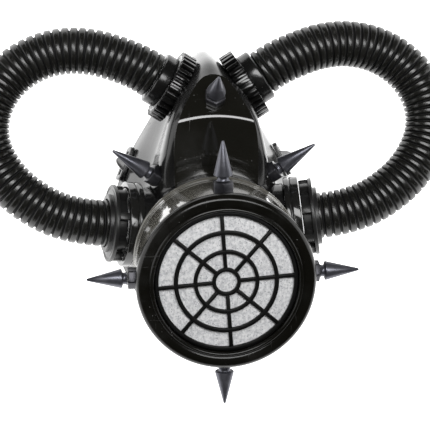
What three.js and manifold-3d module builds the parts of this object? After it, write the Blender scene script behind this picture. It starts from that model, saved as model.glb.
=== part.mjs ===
// A spiked costume breathing mask, lying on its face rim: +Z points out of the face, +Y towards the nose,
// +X to the right as the mask is looked at. Millimetres, with the origin under the middle of its box.
import * as THREE from "three";
import { mergeVertices } from "three/addons/utils/BufferGeometryUtils.js";
import Module from "manifold-3d";

const wasm = await Module();
wasm.setup();

// General sizes.
const GAP = 0.3;
const EASE = 0.5;
const FRAME_SHIFT_Y = -0.46;

// Facepiece: a soft hollow muzzle whose lip turns in under the face rim.
const WALL = 2.6;
const LIP_WIDTH = 6;
const LIP_THICK = 2.4;
const SAMPLES_PER_STATION = 3;
const SAMPLES_PER_RING = 2;

// Front shell: a bent hard plate with a rounded ridge across it.
const SHELL_THICK = 2.2;
const SHELL_CLEAR = 0.8;
const RIDGE_Y = 49.6;
const RIDGE_BOW = 3.4;
const RIDGE_ROUND = 3;
const SHELL_HALF_WIDTH = 22.4;
const UPPER_SLOPE = 12;
const SHELL_COLUMNS = 8;

// Canister: its axis leans towards the chin, and the lower part of the shell is square to it.
const CANISTER_TILT = 23.2;
const CANISTER_BACK = new THREE.Vector3(0, -22, 52);
const CANISTER_LENGTH = 46.4;
const DRUM_RADIUS = 44.6;
const BEZEL_RADIUS = 46.8;
const BEZEL_START = CANISTER_LENGTH - 8;
const NECK_RADIUS = 17;
const NECK_BORE = 14;
const NECK_LENGTH = 6;
const NECK_HOLE = NECK_RADIUS + GAP;
const NECK_HOLE_REACH = 20;
const ROUND_SIDES = 36;

// Grille: eight spokes and three rings in a round frame, in front of a felt pad.
const GRILLE_SPOKES = 8;
const GRILLE_TURN = 3.7;
const GRILLE_RADIUS = 37.1;
const GRILLE_THICK = 2;
const GRILLE_SEAT = CANISTER_LENGTH - 4.2;
const SPOKE_WIDTH = 2;
const HUB_HOLE = 5.5;
const PAD_THICK = 2.3;
const PAD_RADIUS = 36.8;
const GRILLE_GAPS = [
  { inner: 7.5, outer: 15, arcSteps: 1 },
  { inner: 17, outer: 25, arcSteps: 2 },
  { inner: 27.2, outer: 35, arcSteps: 3 },
];

// Spikes: a six-sided nut, and a blunt cone on a short neck.
const NUT_RADIUS = 5.8;
const NUT_HEIGHT = 5.2;
const NUT_CHAMFER = 0.7;
const NECK_OF_CONE = 2.6;
const CONE_LENGTH = 18.3;
const CONE_RADIUS = 5;
const CONE_FOOT = 3.6;
const CONE_WAIST = 3;
const CONE_TIP = 0.7;
const CONE_SIDES = 14;
const DRUM_SPIKE_AT = 30.4;
const CHEEK_SPIKE = { seat: [30.4, 22.4, 54.7], aim: [0.81, 0.46, 0.35], boss: 7, cone: 21.4 };
const NOSE_SPIKE_Y = 59.4;

// Upper hose unions: a knurled ring and a plain collar on a moulded boss beside the nose.
const UNION_CENTRE = [19.8, 73.2, 49];
const UNION_AIM = [0.848, 0.493, 0.19];
const RING_RADIUS = 19.7;
const RING_THICK = 8;
const RING_TEETH = 32;
const TOOTH_DEPTH = 1.3;
const COLLAR_RADIUS = 14.7;
const COLLAR_LENGTH = 6.8;
const UNION_BORE = 10;
const BOSS_RADIUS = 15;
const BOSS_DEPTH = 18;

// Lower valve ports: a drum on the cheek, then a capped cage that the hose leaves.
const PORT_SEAT = [41.5, 0, 36];
const PORT_AIM = [0.984, 0.065, 0.165];
const PORT_BOSS_RADIUS = 20;
const PORT_BOSS_DEPTH = 16;
const VALVE_RADIUS = 23;
const VALVE_LENGTH = 8;
const COVER_RADIUS = 21;
const COVER_CORE = 16;
const CAGE_LENGTH = 5;
const COVER_THICK = 2;
const CAGE_POSTS = 8;
const POST_WIDTH = 4;
const POST_DEPTH = 5;
const PORT_SIDES = 24;

// Hoses: the right hose leaves its union straight, follows this middle line and runs straight into its port.
const HOSE_RADIUS = 12.6;
const HOSE_LEAD = 9;
const HOSE_SIDES = 12;
const HOSE_STEPS = 22;
const HOSE_ROUTE = [
  { x: 50, y: 88.6, z: 54.5 },
  { x: 62.5, y: 92.2, z: 55 },
  { x: 76, y: 93.4, z: 54.6 },
  { x: 89, y: 91.3, z: 53.6 },
  { x: 101, y: 85.9, z: 52.4 },
  { x: 111.2, y: 77.2, z: 51.2 },
  { x: 118.2, y: 65.8, z: 49.8 },
  { x: 121, y: 53.6, z: 48.4 },
  { x: 119.5, y: 41.6, z: 47 },
  { x: 114, y: 30, z: 45.8 },
  { x: 105.8, y: 20, z: 44.7 },
  { x: 96, y: 12.3, z: 43.6 },
  { x: 86, y: 6.8, z: 42.5 },
  { x: 76, y: 3.5, z: 41.4 },
];

// Strap buckles: a slotted slide with a rounded ear, flat against the skirt of each upper cheek.
const BUCKLE = { station: 3, row: 1, length: 20, width: 9, thick: 2.2, corner: 1.8 };
const BUCKLE_SLOT = { length: 14, width: 2.6 };
const BUCKLE_EAR = { half: 5, reach: 5.5, thick: 2.4 };

// The facepiece's stations down one side, and its rings from the face rim up to the crown.
// Each ring gives the distance from the midline, the place along the face and the height.
const FACE_STATIONS = [
  {
    at: "nose", rim: [0, 99.5, 16], skirt: [0, 98, 28],
    waist: [0, 91.5, 46], shoulder: [0, 82.5, 64], crown: [0, 72],
  },
  {
    at: "bridge", rim: [11, 92, 12], skirt: [10.5, 90, 25],
    waist: [10.2, 84, 44], shoulder: [10.2, 76, 62], crown: [9.8, 66.5],
  },
  {
    at: "flank", rim: [29, 66, 4], skirt: [26.5, 64.5, 17],
    waist: [21.2, 60.5, 42], shoulder: [21.6, 54.2, 71.5], crown: [17.6, 50.5],
  },
  {
    at: "upper cheek", rim: [45, 39, 0], skirt: [41.5, 38, 12],
    waist: [31, 36.5, 38], shoulder: [26, 34.6, 68.6], crown: [20.2, 33],
  },
  {
    at: "cheek", rim: [54, 5, 0], skirt: [50.5, 4, 13],
    waist: [40.5, 3, 33], shoulder: [30.5, 2.5, 48], crown: [21.4, 2],
  },
  {
    at: "jaw", rim: [43.5, -29, 0], skirt: [41, -28.5, 11],
    waist: [35.5, -27, 25], shoulder: [28.5, -25, 38], crown: [20, -23],
  },
  {
    at: "chin side", rim: [27, -54, 0], skirt: [26, -53, 10],
    waist: [22.5, -50, 19], shoulder: [18, -47, 29], crown: [13, -42],
  },
  {
    at: "chin", rim: [0, -64.5, 0], skirt: [0, -64, 9],
    waist: [0, -61, 18], shoulder: [0, -56, 27], crown: [0, -49],
  },
];
const FACE_RINGS = ["rim", "skirt", "waist", "shoulder", "crown"];

// The front shell's outline: its half width at places from the nose to the chin.
const SHELL_OUTLINE = [
  { y: 73.2, half: 1.5 },
  { y: 71.8, half: 5.3 },
  { y: 69, half: 8.3 },
  { y: 64.7, half: 11.3 },
  { y: 56.4, half: 15.9 },
  { y: 51.8, half: 18.2 },
  { y: 47.7, half: 19.8 },
  { y: 43, half: 21.2 },
  { y: 33, half: SHELL_HALF_WIDTH },
  { y: 19.4, half: 22.2 },
  { y: 2, half: 22 },
  { y: -15, half: 21 },
  { y: -32, half: 17.6 },
  { y: -44, half: 10.8 },
  { y: -50, half: 2 },
];

const finish = (color, roughness, metalness) =>
  new THREE.MeshStandardMaterial({ color, roughness, metalness });
const RUBBER = finish(0x1c1c1d, 0.35, 0);
const GLOSS_PLASTIC = finish(0x131314, 0.2, 0);
const SATIN_PLASTIC = finish(0x222224, 0.45, 0);
const HOSE_PLASTIC = finish(0x2b2b2d, 0.45, 0);
const GUNMETAL = finish(0x53545d, 0.35, 0.7);
const FELT = finish(0xc6c9cd, 0.95, 0);

const radians = THREE.MathUtils.degToRad;
const group = new THREE.Group();
group.position.y = FRAME_SHIFT_Y;

function place(name, geometry, material, parent = group) {
  const mesh = new THREE.Mesh(geometry, material);
  mesh.name = name;
  parent.add(mesh);
  return mesh;
}

// A closed geometry as a solid that can be joined and cut.
function solid(geometry) {
  const bare = new THREE.BufferGeometry();
  bare.setAttribute("position", geometry.getAttribute("position").clone());
  bare.setIndex(geometry.getIndex());
  const merged = mergeVertices(bare, 1e-4);
  const vertProperties = merged.getAttribute("position").array;
  const triVerts = new Uint32Array(merged.getIndex().array);
  return new wasm.Manifold(new wasm.Mesh({ numProp: 3, vertProperties, triVerts }));
}

function geometryOf(body) {
  const { vertProperties, triVerts } = body.getMesh();
  const geometry = new THREE.BufferGeometry();
  geometry.setAttribute("position", new THREE.BufferAttribute(new Float32Array(vertProperties), 3));
  return geometry.setIndex(new THREE.BufferAttribute(new Uint32Array(triVerts), 1));
}

// A body of revolution about Z, from a closed profile of [radius, height] pairs.
function turned(profile, sides) {
  const points = profile.map(([radius, height]) => new THREE.Vector2(radius, height));
  const onAxis = profile[0][0] === 0;
  if (!onAxis) points.push(points[0].clone());
  return new THREE.LatheGeometry(points, sides).rotateX(Math.PI / 2);
}

// Turns +Z of a geometry or group to a direction.
const UP = new THREE.Vector3(0, 0, 1);
const aimFrom = (aim) =>
  new THREE.Quaternion().setFromUnitVectors(UP, new THREE.Vector3(...aim).normalize());

// A round bar that starts at a point and runs along a direction, from one distance to another.
function bar(start, aim, from, to, radius, sides) {
  const rod = new THREE.CylinderGeometry(radius, radius, to - from, sides).rotateX(Math.PI / 2);
  rod.translate(0, 0, (from + to) / 2);
  return solid(rod.applyQuaternion(aimFrom(aim)).translate(...start));
}

const mirrored = ([x, y, z], side) => [side * x, y, z];
const SIDES = [
  { mark: "l", side: -1 },
  { mark: "r", side: 1 },
];

// The height of the front shell's outer face: two slopes that meet in a rounded, bowed ridge.
const LOWER_RISE = Math.tan(radians(CANISTER_TILT));
const UPPER_FALL = Math.tan(radians(UPPER_SLOPE));
const SEAT_HEIGHT = CANISTER_BACK.z - GAP / Math.cos(radians(CANISTER_TILT));
const RIDGE_BLEND = ((UPPER_FALL + LOWER_RISE) / 2) * RIDGE_ROUND;
const RIDGE_HEIGHT = SEAT_HEIGHT + (RIDGE_Y - CANISTER_BACK.y) * LOWER_RISE - RIDGE_BLEND;
function shellHeight(x, y) {
  const across = (x / SHELL_HALF_WIDTH) ** 2;
  const past = y - RIDGE_Y + RIDGE_BOW * across;
  const bend = ((UPPER_FALL + LOWER_RISE) / 2) * Math.hypot(past, RIDGE_ROUND) - RIDGE_BLEND;
  const lean = ((UPPER_FALL - LOWER_RISE) / 2) * past;
  const crown = LOWER_RISE * RIDGE_BOW * across;
  return RIDGE_HEIGHT - bend - lean - crown;
}

// One closed ring of the facepiece, through its stations down one side and back up the other.
function faceRing(ring) {
  const down = FACE_STATIONS.map((station) => {
    const [x, y, z = shellHeight(x, y) - SHELL_THICK - SHELL_CLEAR] = station[ring];
    return new THREE.Vector3(-x, y, z);
  });
  const back = down.slice(1, -1).reverse();
  const stations = [...down, ...back.map((p) => new THREE.Vector3(-p.x, p.y, p.z))];
  const curve = new THREE.CatmullRomCurve3(stations, true);
  const count = stations.length * SAMPLES_PER_STATION;
  return Array.from({ length: count }, (_, i) => curve.getPoint(i / count));
}

// The facepiece's outer surface as rows of points from the rim to the crown.
function faceRows() {
  const rings = FACE_RINGS.map(faceRing);
  const count = (rings.length - 1) * SAMPLES_PER_RING;
  const ribs = rings[0].map((_, i) => new THREE.CatmullRomCurve3(rings.map((ring) => ring[i])));
  const rows = Array.from({ length: count + 1 }, (_, j) => ribs.map((rib) => rib.getPoint(j / count)));
  rows[0].forEach((point) => point.setZ(Math.max(point.z, 0)));
  return rows;
}

// The direction of a closed row at one of its points.
function rowDirection(row, i) {
  return row[(i + 1) % row.length].clone().sub(row[(i + row.length - 1) % row.length]);
}

// The rows moved inwards, square to the surface.
function insetRows(rows, depth) {
  return rows.map((row, j) =>
    row.map((point, i) => {
      const upper = rows[Math.min(j + 1, rows.length - 1)][i];
      const lower = rows[Math.max(j - 1, 0)][i];
      const inward = upper.clone().sub(lower).cross(rowDirection(row, i)).normalize();
      return point.clone().addScaledVector(inward, depth);
    }),
  );
}

// The rim row moved inwards on the level, for the lip.
function lipRow(rim, rise) {
  return rim.map((point, i) => {
    const along = rowDirection(rim, i).setZ(0);
    const inward = UP.clone().cross(along).normalize();
    return point.clone().addScaledVector(inward, LIP_WIDTH).addScaledVector(UP, rise);
  });
}

// Triangles between rows of points that go round, and across a row whose two halves mirror each other.
function wallFaces(rows, first, count) {
  const faces = [];
  for (let j = 0; j + 1 < rows; j++) {
    for (let i = 0; i < count; i++) {
      const a = first + j * count + i;
      const b = first + j * count + ((i + 1) % count);
      faces.push([a, b, b + count], [a, b + count, a + count]);
    }
  }
  return faces;
}

function capFaces(first, count) {
  const faces = [];
  for (let i = 0; i < count / 2; i++) {
    const [a, b] = [first + i, first + i + 1];
    const [c, d] = [first + ((count - i) % count), first + count - i - 1];
    if (a !== c) faces.push([a, b, c]);
    if (b !== d) faces.push([b, d, c]);
  }
  return faces;
}

function meshed(points, faces) {
  const geometry = new THREE.BufferGeometry().setFromPoints(points);
  return geometry.setIndex(faces.flat());
}

const flipped = (faces) => faces.map(([a, b, c]) => [a, c, b]);

// A solid from stacked rings, closed at both ends.
function stacked(rows) {
  const count = rows[0].length;
  const last = (rows.length - 1) * count;
  const walls = wallFaces(rows.length, 0, count);
  const caps = [...capFaces(last, count), ...flipped(capFaces(0, count))];
  return solid(meshed(rows.flat(), [...walls, ...caps]));
}

// Each seat on the facepiece: a moulded boss behind its face, and clear room for what sits on it.
const FACE_SEATS = [
  {
    at: UNION_CENTRE, aim: UNION_AIM, face: -RING_THICK / 2,
    boss: BOSS_RADIUS, depth: BOSS_DEPTH, room: RING_RADIUS,
  },
  {
    at: PORT_SEAT, aim: PORT_AIM, face: 0,
    boss: PORT_BOSS_RADIUS, depth: PORT_BOSS_DEPTH, room: VALVE_RADIUS,
  },
  {
    at: CHEEK_SPIKE.seat, aim: CHEEK_SPIKE.aim, face: 0,
    boss: CHEEK_SPIKE.boss, depth: CHEEK_SPIKE.boss, room: NUT_RADIUS,
  },
];
const SEAT_SIDES = 20;
const SEAT_ROOM_LENGTH = 20;

function facepiece() {
  const outer = faceRows();
  const inset = insetRows(outer, WALL).slice(1);
  const lip = [lipRow(outer[0], 0), lipRow(outer[0], LIP_THICK)];
  const below = lip[0].map((point) => point.clone().setZ(point.z - LIP_THICK));
  const hollow = stacked([below, ...lip, ...inset]);
  let body = stacked(outer);
  for (const { side } of SIDES) {
    for (const { at, aim, face, boss, depth, room } of FACE_SEATS) {
      const start = mirrored(at, side);
      const axis = mirrored(aim, side);
      const end = face - GAP;
      body = body.add(bar(start, axis, end - depth, end, boss, SEAT_SIDES));
      body = body.subtract(bar(start, axis, end, end + SEAT_ROOM_LENGTH, room + 2 * GAP, SEAT_SIDES));
    }
  }
  return geometryOf(body.subtract(hollow).subtract(neckHole()));
}

// The hole that the canister's neck goes through.
function neckHole() {
  const aim = [0, -Math.sin(radians(CANISTER_TILT)), Math.cos(radians(CANISTER_TILT))];
  return bar(CANISTER_BACK.toArray(), aim, -NECK_HOLE_REACH, NECK_HOLE_REACH, NECK_HOLE, PORT_SIDES);
}

function frontShell() {
  const rows = SHELL_OUTLINE.length;
  const columns = SHELL_COLUMNS + 1;
  const top = SHELL_OUTLINE.flatMap(({ y, half }) =>
    Array.from({ length: columns }, (_, i) => {
      const x = half * ((2 * i) / SHELL_COLUMNS - 1);
      return new THREE.Vector3(x, y, shellHeight(x, y));
    }),
  );
  const under = top.map((point) => point.clone().setZ(point.z - SHELL_THICK));
  const faces = [];
  for (let j = 0; j + 1 < rows; j++) {
    for (let i = 0; i + 1 < columns; i++) {
      const a = j * columns + i;
      faces.push([a, a + columns, a + 1], [a + 1, a + columns, a + columns + 1]);
    }
  }
  const edge = [];
  for (let i = 0; i + 1 < columns; i++) edge.push(i);
  for (let j = 0; j + 1 < rows; j++) edge.push(j * columns + columns - 1);
  for (let i = columns - 1; i > 0; i--) edge.push((rows - 1) * columns + i);
  for (let j = rows - 1; j > 0; j--) edge.push(j * columns);
  const sheet = faces.length;
  for (let k = 0; k < sheet; k++) {
    const [a, b, c] = faces[k];
    faces.push([a + top.length, c + top.length, b + top.length]);
  }
  edge.forEach((a, k) => {
    const b = edge[(k + 1) % edge.length];
    faces.push([a, b, b + top.length], [a, b + top.length, a + top.length]);
  });
  const plate = solid(meshed([...top, ...under], faces));
  return geometryOf(plate.subtract(neckHole()));
}

// The canister in its own frame: its back plate at zero, its front at CANISTER_LENGTH along +Z.
const canister = new THREE.Group();
canister.position.copy(CANISTER_BACK);
canister.rotation.x = radians(CANISTER_TILT);
group.add(canister);

const DRUM_WALL = 2.6;
const BACK_PLATE = 2.6;
const LIP_HEIGHT = 1.8;
const LIP_PROUD = 0.8;
const drumInner = DRUM_RADIUS - DRUM_WALL;
const DRUM_PROFILE = [
  [NECK_BORE, -NECK_LENGTH],
  [NECK_RADIUS, -NECK_LENGTH],
  [NECK_RADIUS, 0],
  [DRUM_RADIUS + LIP_PROUD - EASE, 0],
  [DRUM_RADIUS + LIP_PROUD, EASE],
  [DRUM_RADIUS + LIP_PROUD, LIP_HEIGHT],
  [DRUM_RADIUS, LIP_HEIGHT + LIP_PROUD],
  [DRUM_RADIUS, BEZEL_START - GAP],
  [drumInner, BEZEL_START - GAP],
  [drumInner, BACK_PLATE],
  [NECK_BORE, BACK_PLATE],
];

// The bezel: a fat rounded ring with a bead round its opening, a spigot in the drum and a ledge for the pad.
const BEAD_OUTER = 39.2;
const BEAD_INNER = 37.4;
const BEAD_DIP = 0.6;
const LEDGE_TOP = GRILLE_SEAT - PAD_THICK - 2 * GAP;
const LEDGE_RADIUS = 33.5;
const LEDGE_THICK = 2;
const SPIGOT_END = BEZEL_START - 6;
const SPIGOT_WALL = 2;
const SPIGOT_RADIUS = drumInner - GAP;
const BEZEL_PROFILE = [
  [LEDGE_RADIUS, LEDGE_TOP - LEDGE_THICK],
  [SPIGOT_RADIUS - SPIGOT_WALL, LEDGE_TOP - LEDGE_THICK],
  [SPIGOT_RADIUS - SPIGOT_WALL, SPIGOT_END],
  [SPIGOT_RADIUS, SPIGOT_END],
  [SPIGOT_RADIUS, BEZEL_START],
  [BEZEL_RADIUS - 0.9, BEZEL_START],
  [BEZEL_RADIUS, BEZEL_START + 1.6],
  [BEZEL_RADIUS, BEZEL_START + 4.2],
  [BEZEL_RADIUS - 1.2, CANISTER_LENGTH - 1.4],
  [BEZEL_RADIUS - 3.4, CANISTER_LENGTH],
  [BEAD_OUTER + BEAD_DIP, CANISTER_LENGTH - BEAD_DIP],
  [BEAD_OUTER, CANISTER_LENGTH],
  [BEAD_INNER, CANISTER_LENGTH - BEAD_DIP],
  [BEAD_INNER, LEDGE_TOP],
  [LEDGE_RADIUS, LEDGE_TOP],
];

// One window of the grille, between two spokes and two rings.
function grilleWindow({ inner, outer, arcSteps }, turn) {
  const pitch = (2 * Math.PI) / GRILLE_SPOKES;
  const edge = (radius, steps) => {
    const spare = Math.asin(SPOKE_WIDTH / 2 / radius);
    return Array.from({ length: steps + 1 }, (_, k) => {
      const angle = turn + THREE.MathUtils.lerp(spare, pitch - spare, k / steps);
      return new THREE.Vector2(radius * Math.cos(angle), radius * Math.sin(angle));
    });
  };
  return new THREE.Path([...edge(inner, arcSteps), ...edge(outer, arcSteps + 1).reverse()]);
}

function grille() {
  const frame = new THREE.Shape();
  frame.absarc(0, 0, GRILLE_RADIUS, 0, 2 * Math.PI, false);
  const hub = new THREE.Path();
  hub.absarc(0, 0, HUB_HOLE, 0, 2 * Math.PI, true);
  frame.holes.push(hub);
  for (let k = 0; k < GRILLE_SPOKES; k++) {
    const turn = radians(90 + GRILLE_TURN) + (k * 2 * Math.PI) / GRILLE_SPOKES;
    GRILLE_GAPS.forEach((gap) => frame.holes.push(grilleWindow(gap, turn)));
  }
  const plate = { depth: GRILLE_THICK, bevelEnabled: false, curveSegments: ROUND_SIDES / 2 };
  return new THREE.ExtrudeGeometry(frame, plate).translate(0, 0, GRILLE_SEAT);
}

// The spikes.
const NUT_PROFILE = [
  [0, 0],
  [NUT_RADIUS, 0],
  [NUT_RADIUS, NUT_HEIGHT - NUT_CHAMFER],
  [NUT_RADIUS - NUT_CHAMFER, NUT_HEIGHT],
  [0, NUT_HEIGHT],
];
const CONE_BASE = NUT_HEIGHT + GAP + NECK_OF_CONE;
const coneProfile = (length) => [
  [0, NUT_HEIGHT + GAP],
  [CONE_FOOT, NUT_HEIGHT + GAP],
  [CONE_WAIST, CONE_BASE - EASE],
  [CONE_RADIUS - EASE, CONE_BASE],
  [CONE_RADIUS, CONE_BASE + EASE],
  [CONE_TIP, CONE_BASE + length - CONE_TIP / 2],
  [0, CONE_BASE + length],
];

function spike(name, seat, aim, length = CONE_LENGTH) {
  const stand = new THREE.Group();
  stand.position.set(...seat);
  stand.quaternion.copy(aimFrom(aim));
  group.add(stand);
  place(`spike_nut_${name}`, turned(NUT_PROFILE, 6), GUNMETAL, stand);
  place(`spike_cone_${name}`, turned(coneProfile(length), CONE_SIDES), GUNMETAL, stand);
}

function drumSpike(name, x, y) {
  const aim = new THREE.Vector3(x, y, 0).applyEuler(canister.rotation);
  const seat = new THREE.Vector3(x, y, 0).multiplyScalar(DRUM_RADIUS + GAP).setZ(DRUM_SPIKE_AT);
  seat.applyEuler(canister.rotation).add(canister.position);
  spike(name, seat.toArray(), aim.toArray());
}

// The upper unions.
const TOOTH_CORNERS = [
  { share: 0, depth: TOOTH_DEPTH },
  { share: 0.12, depth: 0 },
  { share: 0.5, depth: 0 },
  { share: 0.62, depth: TOOTH_DEPTH },
];
function knurledRing() {
  const rim = [];
  for (let k = 0; k < RING_TEETH; k++) {
    for (const { share, depth } of TOOTH_CORNERS) {
      const angle = ((k + share) * 2 * Math.PI) / RING_TEETH;
      const radius = RING_RADIUS - depth;
      rim.push(new THREE.Vector2(radius * Math.cos(angle), radius * Math.sin(angle)));
    }
  }
  const shape = new THREE.Shape(rim);
  const bore = new THREE.Path();
  bore.absarc(0, 0, UNION_BORE, 0, 2 * Math.PI, true);
  shape.holes.push(bore);
  const plate = { depth: RING_THICK, bevelEnabled: false, curveSegments: SEAT_SIDES / 2 };
  return new THREE.ExtrudeGeometry(shape, plate).translate(0, 0, -RING_THICK / 2);
}

const COLLAR_START = RING_THICK / 2 + GAP;
const COLLAR_PROFILE = [
  [UNION_BORE, COLLAR_START],
  [COLLAR_RADIUS, COLLAR_START],
  [COLLAR_RADIUS, COLLAR_START + COLLAR_LENGTH - 2 * EASE],
  [COLLAR_RADIUS - 2 * EASE, COLLAR_START + COLLAR_LENGTH],
  [UNION_BORE, COLLAR_START + COLLAR_LENGTH],
];

// The lower valve ports.
const VALVE_BORE = 12;
const VALVE_PROFILE = [
  [VALVE_BORE, 0],
  [VALVE_RADIUS - EASE, 0],
  [VALVE_RADIUS, EASE],
  [VALVE_RADIUS, VALVE_LENGTH - 2 * EASE],
  [VALVE_RADIUS - 2 * EASE, VALVE_LENGTH],
  [VALVE_BORE, VALVE_LENGTH],
];

const COVER_START = VALVE_LENGTH + GAP;
const COVER_FACE = COVER_START + CAGE_LENGTH;
const COVER_PROFILE = [
  [0, COVER_START],
  [COVER_CORE, COVER_START],
  [COVER_CORE, COVER_FACE],
  [COVER_RADIUS, COVER_FACE],
  [COVER_RADIUS, COVER_FACE + COVER_THICK - EASE],
  [COVER_RADIUS - EASE, COVER_FACE + COVER_THICK],
  [0, COVER_FACE + COVER_THICK],
];

function valveCover() {
  let body = solid(turned(COVER_PROFILE, PORT_SIDES));
  for (let k = 0; k < CAGE_POSTS; k++) {
    const post = new THREE.BoxGeometry(POST_DEPTH, POST_WIDTH, CAGE_LENGTH + EASE);
    post.translate(COVER_CORE - EASE + POST_DEPTH / 2, 0, COVER_START + (CAGE_LENGTH + EASE) / 2);
    body = body.add(solid(post.rotateZ((k * 2 * Math.PI) / CAGE_POSTS)));
  }
  return geometryOf(body);
}

// A point at a distance out along a seat's direction.
const outAlong = (at, aim, distance) =>
  new THREE.Vector3(...aim).normalize().multiplyScalar(distance).add(new THREE.Vector3(...at));

function hose(side) {
  const unionEnd = COLLAR_START + COLLAR_LENGTH + GAP;
  const portEnd = COVER_FACE + COVER_THICK + GAP;
  const points = [
    outAlong(UNION_CENTRE, UNION_AIM, unionEnd),
    outAlong(UNION_CENTRE, UNION_AIM, unionEnd + HOSE_LEAD),
    ...HOSE_ROUTE,
    outAlong(PORT_SEAT, PORT_AIM, portEnd + HOSE_LEAD),
    outAlong(PORT_SEAT, PORT_AIM, portEnd),
  ].map(({ x, y, z }) => new THREE.Vector3(side * x, y, z));
  const section = new THREE.Shape();
  section.absarc(0, 0, HOSE_RADIUS, 0, 2 * Math.PI, false);
  const extrudePath = new THREE.CatmullRomCurve3(points);
  const tube = { steps: HOSE_STEPS, curveSegments: HOSE_SIDES / 2, bevelEnabled: false, extrudePath };
  return new THREE.ExtrudeGeometry(section, tube);
}

// A buckle: +X along the rim, +Y up the skirt, +Z out of it.
function strapBuckle() {
  const { length, width, thick, corner } = BUCKLE;
  const [endX, endY] = [length / 2, width / 2];
  const plate = new THREE.Shape([
    new THREE.Vector2(corner - endX, -endY),
    new THREE.Vector2(endX - corner, -endY),
    new THREE.Vector2(endX, corner - endY),
    new THREE.Vector2(endX, endY - corner),
    new THREE.Vector2(endX - corner, endY),
    new THREE.Vector2(corner - endX, endY),
    new THREE.Vector2(-endX, endY - corner),
    new THREE.Vector2(-endX, corner - endY),
  ]);
  const [slotX, slotY] = [BUCKLE_SLOT.length / 2, BUCKLE_SLOT.width / 2];
  const slot = [[-slotX, -slotY], [-slotX, slotY], [slotX, slotY], [slotX, -slotY]];
  plate.holes.push(new THREE.Path(slot.map(([x, y]) => new THREE.Vector2(x, y))));
  const slide = new THREE.ExtrudeGeometry(plate, { depth: thick, bevelEnabled: false });

  const ear = new THREE.Shape();
  ear.moveTo(-BUCKLE_EAR.half, thick / 2);
  ear.lineTo(BUCKLE_EAR.half, thick / 2);
  ear.quadraticCurveTo(BUCKLE_EAR.half / 2, thick + BUCKLE_EAR.reach, 0, thick + BUCKLE_EAR.reach);
  ear.quadraticCurveTo(-BUCKLE_EAR.half / 2, thick + BUCKLE_EAR.reach, -BUCKLE_EAR.half, thick / 2);
  const thickness = { depth: BUCKLE_EAR.thick, bevelEnabled: false, curveSegments: 5 };
  const lug = new THREE.ExtrudeGeometry(ear, thickness);
  lug.rotateX(Math.PI / 2).translate(0, endY - GAP, 0);
  return geometryOf(solid(slide).add(solid(lug)));
}

// Where a buckle lies on the facepiece.
function buckleSeat(side) {
  const rows = faceRows();
  const row = rows[BUCKLE.row];
  const column = BUCKLE.station * SAMPLES_PER_STATION;
  const i = side < 0 ? column : row.length - column;
  const out = row[i].clone().sub(insetRows(rows, 1)[BUCKLE.row][i]);
  const along = rowDirection(row, i).normalize();
  const seat = new THREE.Matrix4().makeBasis(along, out.clone().cross(along), out);
  return seat.setPosition(row[i].clone().addScaledVector(out, GAP));
}

// The assembly.
place("facepiece", facepiece(), RUBBER);
place("front_shell", frontShell(), GLOSS_PLASTIC);
place("canister_body", turned(DRUM_PROFILE, ROUND_SIDES), GLOSS_PLASTIC, canister);
place("canister_bezel", turned(BEZEL_PROFILE, ROUND_SIDES), GLOSS_PLASTIC, canister);
place("grille", grille(), SATIN_PLASTIC, canister);
const pad = new THREE.CylinderGeometry(PAD_RADIUS, PAD_RADIUS, PAD_THICK, ROUND_SIDES).rotateX(Math.PI / 2);
place("filter_pad", pad.translate(0, 0, GRILLE_SEAT - GAP - PAD_THICK / 2), FELT, canister);

drumSpike("top", 0, 1);
drumSpike("bottom", 0, -1);
drumSpike("left", -1, 0);
drumSpike("right", 1, 0);
const noseAim = [0, Math.sin(radians(UPPER_SLOPE)), Math.cos(radians(UPPER_SLOPE))];
const noseSeat = shellHeight(0, NOSE_SPIKE_Y) + GAP / Math.cos(radians(UPPER_SLOPE));
spike("nose", [0, NOSE_SPIKE_Y, noseSeat], noseAim);

for (const { mark, side } of SIDES) {
  const cheekSeat = mirrored(CHEEK_SPIKE.seat, side);
  spike(`cheek_${mark}`, cheekSeat, mirrored(CHEEK_SPIKE.aim, side), CHEEK_SPIKE.cone);

  const union = new THREE.Group();
  union.position.set(...mirrored(UNION_CENTRE, side));
  union.quaternion.copy(aimFrom(mirrored(UNION_AIM, side)));
  group.add(union);
  place(`knurled_ring_${mark}`, knurledRing(), SATIN_PLASTIC, union);
  place(`hose_collar_${mark}`, turned(COLLAR_PROFILE, PORT_SIDES), SATIN_PLASTIC, union);

  const port = new THREE.Group();
  port.position.set(...mirrored(PORT_SEAT, side));
  port.quaternion.copy(aimFrom(mirrored(PORT_AIM, side)));
  group.add(port);
  place(`valve_base_${mark}`, turned(VALVE_PROFILE, PORT_SIDES), SATIN_PLASTIC, port);
  place(`valve_cover_${mark}`, valveCover(), SATIN_PLASTIC, port);

  place(`hose_${mark}`, hose(side), HOSE_PLASTIC);

  place(`strap_buckle_${mark}`, strapBuckle(), SATIN_PLASTIC).applyMatrix4(buckleSeat(side));
}

export default group;
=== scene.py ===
"""A spiked costume breathing mask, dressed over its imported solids.

Blender works in metres here. The tables and sizes of the pieces are in millimetres, as on a drawing.
"""
import math

import bpy
from mathutils import Matrix, Vector


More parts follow.
